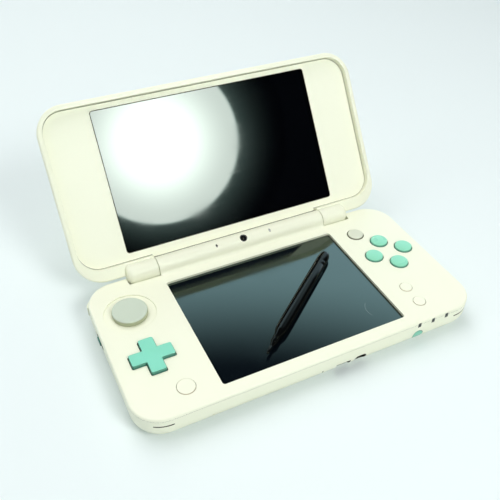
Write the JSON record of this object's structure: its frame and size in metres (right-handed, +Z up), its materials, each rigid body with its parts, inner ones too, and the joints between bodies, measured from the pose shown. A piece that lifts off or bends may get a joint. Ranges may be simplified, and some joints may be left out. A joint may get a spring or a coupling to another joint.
{
  "type": "clamshell handheld game console",
  "caption": "Folding handheld game console with an upper and a lower screen, slide pad, direction pad, round buttons, shoulder buttons and a stylus lying on the lower screen.",
  "frame": {"origin": "centre of the flat underside of the base", "axes": "+X to the right along the hinge, +Y from the front edge to the hinge, +Z up from the base"},
  "size_m": [0.1605, 0.1321, 0.0805],
  "materials": {
    "cream_plastic": "satin moulded shell",
    "mint_plastic": "smooth moulded key",
    "grey_plastic": "fine grained moulding",
    "black_plastic": "plain moulding",
    "stylus_plastic": "polished moulding",
    "black_glass": "polished dark glass",
    "display_glass": "laminated display module",
    "circuit_board": "solder mask",
    "battery_wrap": "printed sleeve left blank",
    "silicone": "soft translucent sheet",
    "steel": "bright pressed steel",
    "ribbon": "flexible circuit"
  },
  "bodies": {
    "base": {"base_bottom_housing": "cream_plastic", "base_top_housing": "cream_plastic", "stylus_sleeve": "cream_plastic", "nub_cap": "grey_plastic", "slide_pad_tray": "grey_plastic", "camera_light": "grey_plastic", "audio_jack": "black_plastic", "speakers": "black_plastic", "light_pipes": "black_plastic", "volume_slider": "black_plastic", "power_switch": "black_plastic", "shoulder_switches": "black_plastic", "wireless_module": "black_plastic", "nub_sensor": "black_plastic", "front_camera": "black_plastic", "microphone": "black_plastic", "rear_cameras": "black_plastic", "hinge_cable": "black_plastic", "touch_panel": "black_glass", "lower_display": "display_glass", "mainboard": "circuit_board", "battery": "battery_wrap", "direction_membrane": "silicone", "face_membrane": "silicone", "home_membrane": "silicone", "menu_membrane": "silicone", "processor_shield": "steel", "game_card_socket": "steel", "memory_card_socket": "steel", "charging_port": "steel", "shoulder_pins": "steel", "base_screws": "steel", "hinge_detent": "steel", "hinge_pin": "steel"},
    "lid": {"lid_back_shell": "cream_plastic", "lid_inner_bezel": "cream_plastic", "upper_glass": "black_glass", "upper_display": "display_glass", "lid_ribbon": "ribbon", "lid_magnet": "steel"},
    "card_cover": {"card_cover": "cream_plastic"},
    "stylus": {"stylus": "stylus_plastic"},
    "slide_pad_carriage": {"slide_pad_carriage": "black_plastic"},
    "slide_pad_cap": {"slide_pad_cap": "grey_plastic"},
    "direction_pivot": {"direction_pivot": "steel"},
    "direction_pad": {"direction_pad": "mint_plastic"},
    "top_button": {"top_button": "mint_plastic"},
    "right_button": {"right_button": "mint_plastic"},
    "bottom_button": {"bottom_button": "mint_plastic"},
    "left_button": {"left_button": "mint_plastic"},
    "home_button": {"home_button": "cream_plastic"},
    "select_button": {"select_button": "cream_plastic"},
    "start_button": {"start_button": "cream_plastic"},
    "power_button": {"power_button": "mint_plastic"},
    "volume_knob": {"volume_knob": "mint_plastic"},
    "left_shoulder": {"left_shoulder": "cream_plastic"},
    "right_shoulder": {"right_shoulder": "cream_plastic"},
    "inner_left_shoulder": {"inner_left_shoulder": "cream_plastic"},
    "inner_right_shoulder": {"inner_right_shoulder": "cream_plastic"}
  },
  "joints": [
    {"name": "lid_fold", "type": "hinge", "parent": "base", "child": "lid", "pos_m": [0, 0.0409, 0.0136], "axis": [-1, 0, 0], "range_deg": [-124.5, 35.5]},
    {"name": "card_cover_flap", "type": "hinge", "parent": "base", "child": "card_cover", "pos_m": [-0.02565, -0.03699, 0.00142], "axis": [1, 0, 0], "range_deg": [0, 60]},
    {"name": "stylus_lift", "type": "slide", "parent": "base", "child": "stylus", "axis": [0, 0, 1], "range_m": [0, 0.06]},
    {"name": "slide_pad_x", "type": "slide", "parent": "base", "child": "slide_pad_carriage", "axis": [1, 0, 0], "range_m": [-0.0024, 0.0024], "stiffness_N_per_m": 120},
    {"name": "slide_pad_y", "type": "slide", "parent": "slide_pad_carriage", "child": "slide_pad_cap", "axis": [0, 1, 0], "range_m": [-0.0024, 0.0024], "stiffness_N_per_m": 120},
    {"name": "direction_pad_tilt_x", "type": "hinge", "parent": "base", "child": "direction_pivot", "pos_m": [-0.0638, -0.0091, 0.00895], "axis": [1, 0, 0], "range_deg": [-3, 3], "stiffness_Nm_per_rad": 0.02},
    {"name": "direction_pad_tilt_y", "type": "hinge", "parent": "direction_pivot", "child": "direction_pad", "pos_m": [-0.0638, -0.0091, 0.00895], "axis": [0, 1, 0], "range_deg": [-3, 3], "stiffness_Nm_per_rad": 0.02},
    {"name": "top_button_press", "type": "slide", "parent": "base", "child": "top_button", "axis": [0, 0, -1], "range_m": [0, 0.0008], "stiffness_N_per_m": 400, "springref_m": -0.0003},
    {"name": "right_button_press", "type": "slide", "parent": "base", "child": "right_button", "axis": [0, 0, -1], "range_m": [0, 0.0008], "stiffness_N_per_m": 400, "springref_m": -0.0003},
    {"name": "bottom_button_press", "type": "slide", "parent": "base", "child": "bottom_button", "axis": [0, 0, -1], "range_m": [0, 0.0008], "stiffness_N_per_m": 400, "springref_m": -0.0003},
    {"name": "left_button_press", "type": "slide", "parent": "base", "child": "left_button", "axis": [0, 0, -1], "range_m": [0, 0.0008], "stiffness_N_per_m": 400, "springref_m": -0.0003},
    {"name": "home_button_press", "type": "slide", "parent": "base", "child": "home_button", "axis": [0, 0, -1], "range_m": [0, 0.0008], "stiffness_N_per_m": 400, "springref_m": -0.0003},
    {"name": "select_button_press", "type": "slide", "parent": "base", "child": "select_button", "axis": [0, 0, -1], "range_m": [0, 0.0008], "stiffness_N_per_m": 400, "springref_m": -0.0003},
    {"name": "start_button_press", "type": "slide", "parent": "base", "child": "start_button", "axis": [0, 0, -1], "range_m": [0, 0.0008], "stiffness_N_per_m": 400, "springref_m": -0.0003},
    {"name": "power_button_press", "type": "slide", "parent": "base", "child": "power_button", "axis": [0, 1, 0], "range_m": [0, 0.0004], "stiffness_N_per_m": 500, "springref_m": -0.0002},
    {"name": "volume_slide", "type": "slide", "parent": "base", "child": "volume_knob", "axis": [0, 1, 0], "range_m": [-0.0034, 0.0034]},
    {"name": "left_shoulder_press", "type": "hinge", "parent": "base", "child": "left_shoulder", "pos_m": [-0.0746, 0.0345, 0.0071], "axis": [0, 0, -1], "range_deg": [0, 2.5], "stiffness_Nm_per_rad": 0.05, "springref_deg": -0.57},
    {"name": "right_shoulder_press", "type": "hinge", "parent": "base", "child": "right_shoulder", "pos_m": [0.0746, 0.0345, 0.0071], "axis": [0, 0, 1], "range_deg": [0, 2.5], "stiffness_Nm_per_rad": 0.05, "springref_deg": -0.57},
    {"name": "inner_left_shoulder_press", "type": "hinge", "parent": "base", "child": "inner_left_shoulder", "pos_m": [-0.058, 0.0375, 0.006], "axis": [0, 0, -1], "range_deg": [0, 3.5], "stiffness_Nm_per_rad": 0.03, "springref_deg": -0.57},
    {"name": "inner_right_shoulder_press", "type": "hinge", "parent": "base", "child": "inner_right_shoulder", "pos_m": [0.058, 0.0375, 0.006], "axis": [0, 0, 1], "range_deg": [0, 3.5], "stiffness_Nm_per_rad": 0.03, "springref_deg": -0.57}
  ]
}
